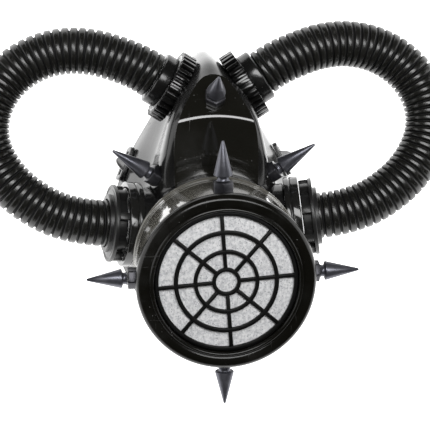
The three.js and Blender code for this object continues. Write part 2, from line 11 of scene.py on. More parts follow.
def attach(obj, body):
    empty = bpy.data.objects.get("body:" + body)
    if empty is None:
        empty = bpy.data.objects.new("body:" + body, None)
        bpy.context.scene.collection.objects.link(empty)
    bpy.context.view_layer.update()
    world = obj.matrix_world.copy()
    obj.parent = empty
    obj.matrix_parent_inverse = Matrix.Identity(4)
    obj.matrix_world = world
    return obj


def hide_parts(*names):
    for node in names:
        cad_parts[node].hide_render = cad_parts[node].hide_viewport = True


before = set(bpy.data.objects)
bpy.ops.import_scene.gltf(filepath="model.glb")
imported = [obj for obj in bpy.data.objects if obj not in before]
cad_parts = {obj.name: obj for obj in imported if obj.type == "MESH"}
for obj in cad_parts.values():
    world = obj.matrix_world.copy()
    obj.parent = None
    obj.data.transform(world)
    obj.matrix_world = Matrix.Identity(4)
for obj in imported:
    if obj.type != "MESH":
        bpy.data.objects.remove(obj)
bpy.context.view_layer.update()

MM = 0.001
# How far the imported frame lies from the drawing's, along Y.
SHIFT_Y = -0.46
# The clear gap between neighbouring pieces.
GAP = 0.3
SIDES = {"l": -1, "r": 1}

# The camera looks almost straight down at the mask, which lies on its rim. Its angles are in degrees and its
# distance in metres, and AIM_PIXEL is where AIM_POINT shows in the frame.
CAMERA_YAW = 5.9
CAMERA_TILT = 8.2
CAMERA_ROLL = -2.9
CAMERA_DISTANCE = 1.0
FOCAL_PIXELS = 1763
FRAME_PIXELS = 430
AIM_POINT = (0, 0, 42)
AIM_PIXEL = (213.5, 220.3)
SENSOR = 36

# Seats on the mask: a place and the direction out of it, on the right half.
CANISTER_BACK = (0, -22, 52)
CANISTER_TILT = 23.2
UNION = ((19.8, 73.2, 49), (0.848, 0.493, 0.19))
PORT = ((41.5, 0, 36), (0.984, 0.065, 0.165))
CHEEK = ((30.4, 22.4, 54.7), (0.81, 0.46, 0.35))

# Front plate: two slopes that meet in a rounded, bowed ridge.
PLATE_THICK = 2.2
PLATE_CLEAR = 0.8
PLATE_EDGE = 1.0
RIDGE_Y = 49.6
RIDGE_BOW = 3.4
RIDGE_ROUND = 1.8
PLATE_HALF = 22.4
UPPER_SLOPE = 12
NOSE_SPIKE_Y = 59.4

# Canister.
CANISTER_LENGTH = 46.4
DRUM_RADIUS = 44.6
DRUM_WALL = 2.6
BEZEL_RADIUS = 46.8
BEZEL_START = CANISTER_LENGTH - 8
GRILLE_SEAT = CANISTER_LENGTH - 4.2
GRILLE_TURN = 3.7
GRILLE_RINGS = [(5.5, 7.5), (15, 17), (25, 27.2), (35, 37.1)]
GRILLE_SPOKES = 8
DRUM_SPIKE_AT = 30.4
NECK_LENGTH = 6
NECK_RADIUS = 17
NECK_BORE = 14

# Spikes.
NUT_RADIUS = 5.8
NUT_HEIGHT = 5.2
NUT_ROOT = 0.8
NUT_EDGE = 0.55
CONE_NECK = 2.6
CONE_LENGTH = 18.3
CHEEK_CONE_LENGTH = 21.4

# Unions, ports and hoses.
RING_RADIUS = 19.7
RING_THICK = 8
RING_TEETH = 32
UNION_BORE = 10
COLLAR_RADIUS = 14.7
COLLAR_LENGTH = 6.8
VALVE_RADIUS = 23
VALVE_LENGTH = 8
VALVE_BORE = 12
COVER_RADIUS = 21
CAGE_LENGTH = 5
CAGE_POSTS = 8
COVER_THICK = 2
CUFF_INNER = 13.1
CUFF_OUTER = 15.7
CUFF_HEIGHT = 2.2
SLIDE_EDGE = 0.4
HOSE_RADIUS = 12.6
HOSE_LEAD = 9
HOSE_SIDES = 40
HOSE_STEPS = 3000
RIB_PITCH = 4.0
RIB_DEPTH = 1.7
# One rib: places along its pitch, and how deep the groove is there.
RIB_PROFILE = [
    (0, 1), (0.05, 0.98), (0.085, 0.85), (0.115, 0.55), (0.145, 0.28), (0.185, 0.12), (0.25, 0.03), (0.36, 0),
    (0.64, 0), (0.75, 0.03), (0.815, 0.12), (0.855, 0.28), (0.885, 0.55), (0.915, 0.85), (0.95, 0.98),
]
HOSE_ROUTE = [
    (50, 88.6, 54.5), (62.5, 92.2, 55), (76, 93.4, 54.6), (89, 91.3, 53.6), (101, 85.9, 52.4),
    (111.2, 77.2, 51.2), (118.2, 65.8, 49.8), (121, 53.6, 48.4), (119.5, 41.6, 47), (114, 30, 45.8),
    (105.8, 20, 44.7), (96, 12.3, 43.6), (86, 6.8, 42.5), (76, 3.5, 41.4),
]

# The muzzle's stations down one side; each row runs from the face rim up to the crown under the plate.
FACE_STATIONS = {
    "nose": [(0, 99.5, 16), (0, 98, 28), (0, 91.5, 46), (0, 82.5, 64), (0, 72)],
    "bridge": [(11, 92, 12), (10.5, 90, 25), (10.2, 84, 44), (10.2, 76, 62), (9.8, 66.5)],
    "flank": [(29, 66, 4), (26.5, 64.5, 17), (21.2, 60.5, 42), (21.6, 54.2, 71.5), (17.6, 50.5)],
    "upper cheek": [(45, 39, 0), (41.5, 38, 12), (31, 36.5, 38), (26, 34.6, 68.6), (20.2, 33)],
    "cheek": [(54, 5, 0), (50.5, 4, 13), (40.5, 3, 33), (30.5, 2.5, 48), (21.4, 2)],
    "jaw": [(43.5, -29, 0), (41, -28.5, 11), (35.5, -27, 25), (28.5, -25, 38), (20, -23)],
    "chin side": [(27, -54, 0), (26, -53, 10), (22.5, -50, 19), (18, -47, 29), (13, -42)],
    "chin": [(0, -64.5, 0), (0, -64, 9), (0, -61, 18), (0, -56, 27), (0, -49)],
}
WALL = 2.6
LIP_WIDTH = 6
LIP_THICK = 2.4
BOSS_DEPTH = 18
BOSS_EDGE = 0.8
# The clear rooms on the bosses start this much above them, so that no two cut faces lie in one plane.
ROOM_LIFT = 0.06
ROOM_DEPTH = 20

# The front plate's half width at places from the nose to the chin.
PLATE_OUTLINE = [
    (73.2, 1.5), (71.8, 5.3), (69, 8.3), (64.7, 11.3), (56.4, 15.9), (51.8, 18.2), (47.7, 19.8), (43, 21.2),
    (33, 22.4), (19.4, 22.2), (2, 22), (-15, 21), (-32, 17.6), (-44, 10.8), (-50, 2),
]

# The studio, in metres and watts. Each light: its name, place, width and depth, and power.
LIGHTS = [
    ("left", (-1.35, 0.1, 0.45), (1, 0.8), 6),
    ("right", (1.35, 0.2, 0.45), (1, 0.8), 6),
    ("overhead", (0.05, 0.1, 1.5), (1.2, 0.45), 17),
]
LIGHT_AIM = (0, 0, 0.05)
FLOOR_SIZE = 6
FLOOR_DROP = 0.0002
FLOOR_GLOW = 1.45
SURROUND = (0.05, 0.048, 0.042, 1)


def at(x, y, z):
    """A place on the mask, in Blender's metres."""
    return Vector((x, y + SHIFT_Y, z)) * MM


def mirrored(place, side):
    """A place or direction of the right half, on either side."""
    return (side * place[0], place[1], place[2])


def seat(place, aim):
    """The matrix that stands a piece at a place with its +Z along aim."""
    turn = Vector((0, 0, 1)).rotation_difference(Vector(aim))
    return Matrix.Translation(at(*place)) @ turn.to_matrix().to_4x4()


CANISTER = Matrix.Translation(at(*CANISTER_BACK)) @ Matrix.Rotation(math.radians(CANISTER_TILT), 4, "X")


def set_camera():
    """The camera at the photograph's angle, with the aim point where it shows there."""
    yaw, tilt, roll = (math.radians(a) for a in (CAMERA_YAW, CAMERA_TILT, CAMERA_ROLL))
    toward = Vector((-math.sin(yaw), -math.sin(tilt) * math.cos(yaw), math.cos(tilt) * math.cos(yaw)))
    right = Vector((0, 1, 0)).cross(toward).normalized()
    up = toward.cross(right)
    right, up = right * math.cos(roll) + up * math.sin(roll), up * math.cos(roll) - right * math.sin(roll)
    depth = CAMERA_DISTANCE - AIM_POINT[2] * MM * toward.z
    across = (AIM_PIXEL[0] - FRAME_PIXELS / 2) * depth / FOCAL_PIXELS
    rise = (FRAME_PIXELS / 2 - AIM_PIXEL[1]) * depth / FOCAL_PIXELS
    place = at(*AIM_POINT) - right * across - up * rise + toward * depth
    lens = bpy.data.cameras.new("camera")
    lens.sensor_width = SENSOR
    lens.lens = SENSOR * FOCAL_PIXELS / FRAME_PIXELS
    camera = bpy.data.objects.new("camera", lens)
    bpy.context.collection.objects.link(camera)
    camera.matrix_world = Matrix.Translation(place) @ Matrix((right, up, toward)).transposed().to_4x4()
    bpy.context.scene.camera = camera


def curve_point(points, t, closed=False):
    """A point on the smooth curve through points, t running from 0 to 1 with the same share for each span."""
    count = len(points)
    spans = count if closed else count - 1
    span = min(int(t * spans), spans - 1)
    share = t * spans - span
    if closed:
        p0, p1, p2, p3 = (points[(span + k) % count] for k in (-1, 0, 1, 2))
    else:
        p1, p2 = points[span], points[span + 1]
        p0 = points[span - 1] if span else 2 * p1 - p2
        p3 = points[span + 2] if span + 2 < count else 2 * p2 - p1
    d0, d1, d2 = (max((b - a).length ** 0.5, 1e-6) for a, b in ((p0, p1), (p1, p2), (p2, p3)))
    start = ((p1 - p0) / d0 - (p2 - p0) / (d0 + d1) + (p2 - p1) / d1) * d1
    end = ((p2 - p1) / d1 - (p3 - p1) / (d1 + d2) + (p3 - p2) / d2) * d1
    square, cube = share ** 2, share ** 3
    return (p1 * (2 * cube - 3 * square + 1) + start * (cube - 2 * square + share)
            + p2 * (3 * square - 2 * cube) + end * (cube - square))


def deselect():
    """Leaves edit mode, with nothing selected."""
    if bpy.context.object and bpy.context.object.mode != "OBJECT":
        bpy.ops.object.mode_set(mode="OBJECT")
    bpy.ops.object.select_all(action="DESELECT")


def only(piece):
    """Selects one piece and makes it active."""
    deselect()
    piece.select_set(True)
    bpy.context.view_layer.objects.active = piece


def tidy_mesh(piece):
    """Merges doubled points and turns all faces outwards."""
    only(piece)
    bpy.ops.object.mode_set(mode="EDIT")
    bpy.ops.mesh.select_all(action="SELECT")
    bpy.ops.mesh.remove_doubles(threshold=2e-6)
    bpy.ops.mesh.normals_make_consistent(inside=False)
    bpy.ops.object.mode_set(mode="OBJECT")
    return piece


def smoothed(piece, angle):
    """Shades a piece smooth, apart from edges sharper than the angle in degrees."""
    only(piece)
    bpy.ops.object.shade_smooth_by_angle(angle=math.radians(angle))
    return piece


def modified(piece, kind, **settings):
    """Adds a modifier and applies it."""
    only(piece)
    modifier = piece.modifiers.new(kind.lower(), kind)
    for name, value in settings.items():
        setattr(modifier, name, value)
    bpy.ops.object.modifier_apply(modifier=modifier.name)
    return piece


def joined(pieces, name):
    """Joins pieces into the first of them."""
    only(pieces[0])
    for piece in pieces:
        piece.select_set(True)
    bpy.ops.object.join()
    pieces[0].name = name
    return pieces[0]


def copied(piece, name, matrix):
    """A copy with its own mesh, with its place in the mesh."""
    copy = bpy.data.objects.new(name, piece.data.copy())
    bpy.context.collection.objects.link(copy)
    copy.data.transform(matrix)
    if matrix.determinant() < 0:
        copy.data.flip_normals()
    return copy


def scrapped(piece):
    bpy.data.objects.remove(piece, do_unlink=True)


def eased(outline, reach, cuts):
    """A closed outline with its corners rounded off over reach; corners on the axis stay."""
    result = []
    for k, corner in enumerate(outline):
        here = Vector(corner)
        if corner[0] == 0:
            result.append(here)
            continue
        back, on = Vector(outline[k - 1]) - here, Vector(outline[(k + 1) % len(outline)]) - here
        first = here + back.normalized() * min(reach, back.length * 0.45)
        last = here + on.normalized() * min(reach, on.length * 0.45)
        for step in range(cuts + 1):
            t = step / cuts
            result.append(first * (1 - t) ** 2 + here * 2 * t * (1 - t) + last * t ** 2)
    return result


def spun(name, outline, steps):
    """A piece spun about Z from a closed outline of (radius, height)."""
    deselect()
    bpy.ops.mesh.primitive_circle_add(vertices=len(outline), radius=MM, fill_type="NOTHING")
    piece = bpy.context.object
    piece.name = name
    for vertex, (radius, height) in zip(piece.data.vertices, outline):
        vertex.co = (radius * MM, 0, height * MM)
    bpy.ops.object.mode_set(mode="EDIT")
    bpy.ops.mesh.select_all(action="SELECT")
    bpy.ops.mesh.spin(steps=steps, angle=2 * math.pi, center=(0, 0, 0), axis=(0, 0, 1))
    bpy.ops.object.mode_set(mode="OBJECT")
    return tidy_mesh(piece)


def block(name, size, middle, bevel):
    """A box with rounded edges."""
    deselect()
    bpy.ops.mesh.primitive_cube_add(size=1)
    piece = bpy.context.object
    piece.name = name
    stretch = Matrix.Diagonal((*(side * MM for side in size), 1))
    piece.data.transform(Matrix.Translation(Vector(middle) * MM) @ stretch)
    return modified(piece, "BEVEL", width=bevel * MM, segments=2, limit_method="NONE")


def lofted(name, rows, closed):
    """A sheet through rows of points, joined to a tube where the rows go round."""
    deselect()
    across = len(rows[0]) + (1 if closed else 0)
    bpy.ops.mesh.primitive_grid_add(x_subdivisions=across - 1, y_subdivisions=len(rows) - 1, size=1)
    sheet = bpy.context.object
    sheet.name = name
    for k, vertex in enumerate(sheet.data.vertices):
        row = rows[k // across]
        vertex.co = row[(k % across) % len(row)]
    return tidy_mesh(sheet)


def carve(piece, tools, operation):
    """Adds the tools to a piece one by one, or cuts them out of it."""
    for tool in tools:
        modified(piece, "BOOLEAN", object=tool, operation=operation, solver="EXACT")
        scrapped(tool)
    return piece


def bar(place, aim, start, end, radius):
    """A plain round bar along a seat's axis, for cutting."""
    outline = [(0, start), (radius, start), (radius, end), (0, end)]
    piece = spun("bar", outline, 64)
    piece.data.transform(seat(place, aim))
    return piece


class Value:
    """One output of a finish's node tree, so that shader maths reads as plain expressions."""

    def __init__(self, finish, socket):
        self.finish = finish
        self.socket = socket

    def maths(self, operation, first, second):
        return self.finish.node("ShaderNodeMath", {"operation": operation}, {0: first, 1: second})

    def __add__(self, other):
        return self.maths("ADD", self, other)

    __radd__ = __add__

    def __sub__(self, other):
        return self.maths("SUBTRACT", self, other)

    def __rsub__(self, other):
        return self.maths("SUBTRACT", other, self)

    def __mul__(self, other):
        return self.maths("MULTIPLY", self, other)

    __rmul__ = __mul__

    def between(self, low, high):
        """0 below low, 1 above high, smooth between."""
        settings = {"interpolation_type": "SMOOTHSTEP"}
        return self.finish.node("ShaderNodeMapRange", settings, {0: self, 1: low, 2: high})


class Finish:
    """A material on the principled shader. Its constants are set on the shader's own sockets."""

    def __init__(self, name, **constants):
        self.material = bpy.data.materials.new(name)
        self.material.use_nodes = True
        self.tree = self.material.node_tree
        self.shader = self.tree.nodes["Principled BSDF"]
        for socket, value in constants.items():
            self.shader.inputs[socket.replace("_", " ")].default_value = value
        self.place = self.node("ShaderNodeTexCoord", {}, {}, "Object")

    def node(self, kind, settings, sockets, output=0):
        node = self.tree.nodes.new(kind)
        for name, value in settings.items():
            setattr(node, name, value)
        for name, value in sockets.items():
            if isinstance(value, Value):
                self.tree.links.new(value.socket, node.inputs[name])
            else:
                node.inputs[name].default_value = value
        return Value(self, node.outputs[output])

    def noise(self, scale, detail=3, roughness=0.5, vector=None):
        sockets = {"Vector": vector or self.place, "Scale": scale, "Detail": detail, "Roughness": roughness}
        return self.node("ShaderNodeTexNoise", {}, sockets)

    def specks(self, scale, size):
        """Small round specks: 1 in a speck, 0 elsewhere."""
        cells = self.node("ShaderNodeTexVoronoi", {}, {"Vector": self.place, "Scale": scale}, "Distance")
        return 1 - cells.between(size * 0.5, size)

    def stretched(self, scale, turn):
        """Object coordinates turned and stretched, for scratches and brushing."""
        sockets = {"Vector": self.place, "Rotation": turn, "Scale": scale}
        return self.node("ShaderNodeMapping", {}, sockets)

    def scratches(self, scale, turn, low, high):
        lines = self.noise(1, 2, 0.5, self.stretched(scale, turn))
        return lines.between(low, high)

    def attribute(self, name):
        return self.node("ShaderNodeAttribute", {"attribute_name": name}, {}, "Fac")

    def mix(self, share, first, second):
        return self.node("ShaderNodeMix", {"data_type": "RGBA"}, {0: share, 6: first, 7: second}, 2)

    def bump(self, height, strength, distance, under=None):
        sockets = {"Height": height, "Strength": strength, "Distance": distance}
        if under:
            sockets["Normal"] = under
        return self.node("ShaderNodeBump", {}, sockets)

    def feed(self, **values):
        for socket, value in values.items():
            self.tree.links.new(value.socket, self.shader.inputs[socket.replace("_", " ")])
        return self.material


def grey(level, blue=1.0):
    """A grey colour, warmer where blue is below 1."""
    return (level, level, level * blue, 1)


def gloss_plastic(name, shade, roughness, coat, bending):
    """Polished dark plastic with hairline scratches, smears and a little dust."""
    finish = Finish(name, Coat_Weight=coat, Coat_Roughness=0.05, IOR=bending)
    smears = finish.noise(28, 4, 0.6).between(0.45, 0.75)
    hairlines = finish.scratches((20, 900, 300), (0.3, 0.2, 0.7), 0.66, 0.74)
    crossed = finish.scratches((900, 25, 300), (0.1, 0.5, -0.4), 0.68, 0.76)
    lines = (hairlines + crossed) * finish.noise(35).between(0.48, 0.62)
    dust = finish.specks(420, 0.16) * finish.noise(60).between(0.5, 0.68)
    base = finish.mix(dust * 0.5 + lines * 0.12 + smears * 0.05, shade, grey(0.18))
    rough = roughness + smears * 0.07 + lines * 0.25 + dust * 0.4
    waves = finish.noise(45, 2)
    surface = finish.bump(lines * -0.4 + dust, 0.12, 0.0002, finish.bump(waves, 0.06, 0.001))
    return finish.feed(Base_Color=base, Roughness=rough, Normal=surface)


def drum_plastic():
    """Hazy polished plastic with fine lines turned round the drum."""
    finish = Finish("drum_plastic", Coat_Weight=1.0, Coat_Roughness=0.03)
    turning = finish.node("ShaderNodeMath", {"operation": "SINE"}, {0: finish.attribute("along") * 4600})
    haze = finish.noise(60, 4, 0.6).between(0.35, 0.7)
    dust = finish.specks(420, 0.16) * finish.noise(60).between(0.5, 0.68)
    base = finish.mix(haze * 0.3 + turning * 0.1, (0.118, 0.113, 0.098, 1), (0.18, 0.172, 0.15, 1))
    base = finish.mix(dust * 0.5, base, grey(0.3))
    rough = 0.09 + haze * 0.06 + dust * 0.3
    surface = finish.bump(turning, 0.03, 0.0001)
    return finish.feed(Base_Color=base, Roughness=rough, Normal=surface)


def rubber():
    """Glossy moulded rubber, with faint flow marks, handling smears and dust."""
    finish = Finish("rubber", IOR=1.45)
    smears = finish.noise(22, 4, 0.6).between(0.4, 0.75)
    dust = finish.specks(380, 0.2) * finish.noise(40).between(0.5, 0.7)
    flow = finish.noise(1, 3, 0.6, finish.stretched((40, 12, 40), (0, 0, 0.4)))
    base = finish.mix(smears * 0.3 + dust * 0.4, grey(0.008), grey(0.045))
    rough = 0.18 + smears * 0.1 + dust * 0.4
    grain = finish.bump(finish.noise(900, 2), 0.05, 0.0002)
    surface = finish.bump(flow, 0.1, 0.0012, grain)
    return finish.feed(Base_Color=base, Roughness=rough, Normal=surface)


def satin_plastic(name, shade, rubbed_shade, roughness, bending):
    """Satin black plastic with a fine moulded grain and rubbed patches."""
    finish = Finish(name, IOR=bending)
    paler_share = finish.noise(70, 4, 0.6).between(0.5, 0.72)
    dust = finish.specks(450, 0.18) * finish.noise(80).between(0.52, 0.66)
    base = finish.mix(paler_share * 0.4 + dust * 0.5, grey(shade), grey(rubbed_shade))
    rough = roughness - paler_share * 0.1 + dust * 0.3
    grain = finish.noise(1600, 2)
    surface = finish.bump(grain, 0.12, 0.0002)
    return finish.feed(Base_Color=base, Roughness=rough, Normal=surface)


def hose_plastic():
    """Charcoal plastic: crests paler and glossier, with scuffs, and grooves near black as painted shade; a
    little dust.
    """
    finish = Finish("hose_plastic", IOR=1.5)
    crest = finish.attribute("crest")
    patches = finish.noise(90, 4, 0.6).between(0.42, 0.7)
    scuffs = finish.scratches((1400, 60, 900), (0.4, 0.2, 0.9), 0.62, 0.72) * crest
    dust = finish.specks(520, 0.2) * finish.noise(120).between(0.5, 0.66)
    # The base colour runs from near black in the grooves to a paler grey on the crests: painted shade in the
    # grooves.
    paler_share = crest * crest
    base = finish.mix(paler_share * (0.8 + patches * 0.2), grey(0.0006, 0.9), grey(0.009, 0.86))
    base = finish.mix(scuffs * 0.3 + dust * 0.4, base, grey(0.12, 0.95))
    rough = 0.65 - paler_share * 0.4 + patches * 0.06 + scuffs * 0.1
    grain = finish.noise(1300, 2)
    surface = finish.bump(grain + scuffs * -0.4, 0.14, 0.0002)
    return finish.feed(Base_Color=base, Roughness=rough, Normal=surface)


def gunmetal(name, shade, worn_shade):
    """Dark plated metal with turning lines, small nicks and hazy patches."""
    finish = Finish(name, Metallic=0.65)
    along = finish.attribute("along")
    turning = finish.node("ShaderNodeMath", {"operation": "SINE"}, {0: along * 5200})
    haze = finish.noise(120, 4, 0.6).between(0.4, 0.7)
    nicks = finish.specks(700, 0.16) * finish.noise(150).between(0.5, 0.65)
    base = finish.mix(haze * 0.6 + nicks * 0.5, shade, worn_shade)
    rough = 0.3 + haze * 0.1 + nicks * 0.2
    surface = finish.bump(turning * 0.5 + nicks * -1, 0.06, 0.0001)
    return finish.feed(Base_Color=base, Roughness=rough, Normal=surface)


def felt():
    """Pale grey felt: matted fibres, darker flecks and a soft surface."""
    finish = Finish("felt", Sheen_Weight=0.25, Sheen_Roughness=0.6)
    clumps = finish.noise(620, 4, 0.65)
    fibres = finish.noise(1, 4, 0.7, finish.stretched((900, 260, 600), (0.2, 0.4, 0.8)))
    crossing = finish.noise(1, 4, 0.7, finish.stretched((260, 900, 600), (0.5, 0.1, 0.3)))
    flecks = finish.specks(900, 0.42) * finish.noise(520).between(0.47, 0.56)
    matted = clumps * 0.5 + fibres * 0.3 + crossing * 0.2
    base = finish.mix(matted.between(0.37, 0.6), (0.56, 0.57, 0.59, 1), (0.93, 0.93, 0.94, 1))
    base = finish.mix(flecks * 0.6, base, (0.24, 0.25, 0.28, 1))
    rough = 0.9 + clumps * 0.1
    surface = finish.bump(matted, 0.5, 0.0008)
    return finish.feed(Base_Color=base, Roughness=rough, Normal=surface)


FINISHES = {
    "plate": gloss_plastic("plate_plastic", (0.0065, 0.0063, 0.0048, 1), 0.09, 0.5, 1.5),
    "bezel": gloss_plastic("bezel_plastic", (0.004, 0.0038, 0.0028, 1), 0.18, 0.04, 1.34),
    "port": gloss_plastic("port_plastic", (0.012, 0.012, 0.0115, 1), 0.13, 0.15, 1.5),
    "drum": drum_plastic(),
    "rubber": rubber(),
    "satin": satin_plastic("satin_plastic", 0.006, 0.035, 0.21, 1.48),
    "ring": satin_plastic("ring_plastic", 0.003, 0.025, 0.16, 1.52),
    "cap": satin_plastic("cap_plastic", 0.014, 0.045, 0.33, 1.42),
    "grille": satin_plastic("grille_plastic", 0.002, 0.006, 0.45, 1.3),
    "hose": hose_plastic(),
    "cone": gunmetal("cone_metal", (0.09, 0.092, 0.11, 1), (0.16, 0.16, 0.18, 1)),
    "nut": gunmetal("nut_metal", (0.03, 0.03, 0.035, 1), (0.09, 0.09, 0.1, 1)),
    "felt": felt(),
}


def dressed(piece, node, finish):
    """Gives a finished piece its finish and body, and hides the imported part of its node."""
    piece.data.materials.clear()
    piece.data.materials.append(FINISHES[finish])
    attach(piece, "root")
    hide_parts(node)
    return piece


def point_values(piece, name, values):
    """Keeps one value for each point of a piece, for its finish to read."""
    layer = piece.data.attributes.new(name, "FLOAT", "POINT")
    layer.data.foreach_set("value", values)


def hose_line(side):
    """The middle line of a hose, in metres, as closely spaced points and the distance travelled at each."""
    def out(place, aim, distance):
        return Vector(place) + Vector(aim).normalized() * distance

    union_end = RING_THICK / 2 + GAP + COLLAR_LENGTH + GAP
    port_end = VALVE_LENGTH + GAP + CAGE_LENGTH + COVER_THICK + GAP
    route = [out(*UNION, union_end), out(*UNION, union_end + HOSE_LEAD)]
    route += [Vector(place) for place in HOSE_ROUTE]
    route += [out(*PORT, port_end + HOSE_LEAD), out(*PORT, port_end)]
    route = [at(*mirrored(place, side)) for place in route]
    dense = [curve_point(route, k / HOSE_STEPS) for k in range(HOSE_STEPS + 1)]
    travelled = [0.0]
    for first, second in zip(dense, dense[1:]):
        travelled.append(travelled[-1] + (second - first).length)
    return dense, travelled


def hose(mark):
    """A ribbed hose that follows its middle line from the union to the port."""
    dense, travelled = hose_line(SIDES[mark])
    length = travelled[-1]
    ribs = round(length / MM / RIB_PITCH)
    stops = [((rib + share) / ribs, dip) for rib in range(ribs) for share, dip in RIB_PROFILE] + [(1.0, 1)]
    turns = [2 * math.pi * k / HOSE_SIDES for k in range(HOSE_SIDES)]
    side_way = Vector((0, 0, 1))
    rows, crests, index = [], [], 0
    for stop, dip in stops:
        while index < len(dense) - 2 and travelled[index + 1] < stop * length:
            index += 1
        share = (stop * length - travelled[index]) / (travelled[index + 1] - travelled[index])
        middle = dense[index].lerp(dense[index + 1], share)
        heading = (dense[index + 1] - dense[index]).normalized()
        side_way = (side_way - heading * side_way.dot(heading)).normalized()
        other_way = heading.cross(side_way)
        radius = (HOSE_RADIUS - RIB_DEPTH * dip) * MM
        rows.append([middle + (side_way * math.cos(a) + other_way * math.sin(a)) * radius for a in turns])
        crests.append(1 - dip)
    tube = lofted(f"ribbed_hose_{mark}", rows, True)
    point_values(tube, "crest", [crests[k // HOSE_SIDES] for k in range(len(tube.data.vertices))])
    smoothed(tube, 60)
    dressed(tube, f"hose_{mark}", "hose")


LOWER_RISE = math.tan(math.radians(CANISTER_TILT))
UPPER_FALL = math.tan(math.radians(UPPER_SLOPE))


def plate_height(x, y):
    """The height of the front plate's outer face."""
    bend = (UPPER_FALL + LOWER_RISE) / 2
    seat_height = CANISTER_BACK[2] - GAP / math.cos(math.radians(CANISTER_TILT))
    ridge = seat_height + (RIDGE_Y - CANISTER_BACK[1]) * LOWER_RISE - bend * RIDGE_ROUND
    bow = RIDGE_BOW * (x / PLATE_HALF) ** 2
    past = y - RIDGE_Y + bow
    lean = (UPPER_FALL - LOWER_RISE) / 2 * past
    return ridge - bend * (math.hypot(past, RIDGE_ROUND) - RIDGE_ROUND) - lean - LOWER_RISE * bow


def face_rows(per_station, per_ring):
    """The muzzle's outer surface as closed rows of points, in millimetres, from the rim to the crown."""
    levels = len(FACE_STATIONS["nose"])
    rings = []
    for level in range(levels):
        down = []
        for station in FACE_STATIONS.values():
            place = station[level]
            if len(place) == 2:
                place = (*place, plate_height(*place) - PLATE_THICK - PLATE_CLEAR)
            down.append(Vector((-place[0], place[1], place[2])))
        back = [Vector((-p.x, p.y, p.z)) for p in reversed(down[1:-1])]
        stations = down + back
        count = len(stations) * per_station
        rings.append([curve_point(stations, k / count, closed=True) for k in range(count)])
    steps = (levels - 1) * per_ring
    ribs = [[ring[k] for ring in rings] for k in range(len(rings[0]))]
    rows = [[curve_point(rib, j / steps) for rib in ribs] for j in range(steps + 1)]
    for point in rows[0]:
        point.z = max(point.z, 0)
    return rows


def row_heading(row, k):
    """The direction along a closed row at one of its points."""
    return row[(k + 1) % len(row)] - row[k - 1]


def inset(rows, depth):
    """The rows moved inwards, square to the surface."""
    moved = []
    for j, row in enumerate(rows):
        upper, lower = rows[min(j + 1, len(rows) - 1)], rows[max(j - 1, 0)]
        inward = [(upper[k] - lower[k]).cross(row_heading(row, k)).normalized() for k in range(len(row))]
        moved.append([point + way * depth for point, way in zip(row, inward)])
    return moved


def closed_loft(name, rows):
    """A solid through rows of points, with its two ends closed by drawing them in to the middle line."""
    def drawn_in(row, shares):
        return [[Vector((p.x * share, p.y, p.z)) for p in row] for share in shares]

    shares = (0, 0.25, 0.5, 0.75)
    whole = drawn_in(rows[0], shares) + rows + drawn_in(rows[-1], reversed(shares))
    return lofted(name, [[at(*point) for point in row] for row in whole], True)


def boss(place, aim, face, radius, flare, rise):
    """A moulded boss behind a seat's face, flared over its rise where it runs out into the muzzle."""
    root = face - max(BOSS_DEPTH, rise + 4)
    steps = 10
    outline = [(0, root), (radius + flare, root)]
    outline += [(radius + flare * (1 - math.sin(a)), face - BOSS_EDGE - rise * math.cos(a))
                for a in (math.pi / 2 * k / steps for k in range(steps + 1))]
    outline += [(radius - 0.2, face - 0.25), (radius - BOSS_EDGE, face), (0, face)]
    piece = spun("boss", outline, 64)
    piece.data.transform(seat(place, aim))
    return piece


def muzzle():
    """The hollow rubber facepiece, with its bosses, its lip and the hole for the canister's neck."""
    rows = face_rows(per_station=12, per_ring=12)
    body = closed_loft("rubber_muzzle", rows)
    # Each boss: its seat, where its face lies, its radius, flare and rise, and the clear room on its face.
    seats = [(UNION, -RING_THICK / 2 - GAP, 15, 4, 12, RING_RADIUS + 2 * GAP),
             (PORT, -GAP, 20, 4, 10, VALVE_RADIUS + 2 * GAP), (CHEEK, -GAP, 6.6, 6, 5, NUT_RADIUS + 2 * GAP)]
    bosses, rooms = [], []
    for side in SIDES.values():
        for (place, aim), face, radius, flare, rise, room in seats:
            place, aim = mirrored(place, side), mirrored(aim, side)
            bosses.append(boss(place, aim, face, radius, flare, rise))
            rooms.append(bar(place, aim, face + ROOM_LIFT, face + ROOM_DEPTH, room))
    carve(body, bosses, "UNION")
    carve(body, rooms, "DIFFERENCE")
    above_lip = 4
    inner = inset(rows, WALL)[above_lip:]
    lip = []
    for rise in (-LIP_THICK, 0, LIP_THICK):
        ring = []
        for k, point in enumerate(rows[0]):
            heading = row_heading(rows[0], k)
            inward = Vector((0, 0, 1)).cross(Vector((heading.x, heading.y, 0))).normalized()
            ring.append(point + inward * LIP_WIDTH + Vector((0, 0, rise)))
        lip.append(ring)
    carve(body, [closed_loft("hollow", lip + inner)], "DIFFERENCE")
    neck_aim = (0, -math.sin(math.radians(CANISTER_TILT)), math.cos(math.radians(CANISTER_TILT)))
    reach = 20
    carve(body, [bar(CANISTER_BACK, neck_aim, -reach, reach, NECK_RADIUS + GAP)], "DIFFERENCE")
    dressed(smoothed(tidy_mesh(body), 40), "facepiece", "rubber")


def front_plate():
    """The hard front plate, with eased edges."""
    across, down = 40, 110
    outline = [Vector((y, half, 0)) for y, half in PLATE_OUTLINE]
    rows = []
    for j in range(down + 1):
        spot = curve_point(outline, j / down)
        places = [spot.y * (2 * i / across - 1) for i in range(across + 1)]
        rows.append([at(x, spot.x, plate_height(x, spot.x)) for x in places])
    plate = lofted("front_plate", rows, False)
    if sum(face.normal.z for face in plate.data.polygons) < 0:
        plate.data.flip_normals()
    modified(plate, "SOLIDIFY", thickness=PLATE_THICK * MM, offset=-1)
    modified(plate, "BEVEL", width=PLATE_EDGE * MM, segments=4, limit_method="ANGLE",
             angle_limit=math.radians(50))
    dressed(smoothed(plate, 40), "front_shell", "plate")


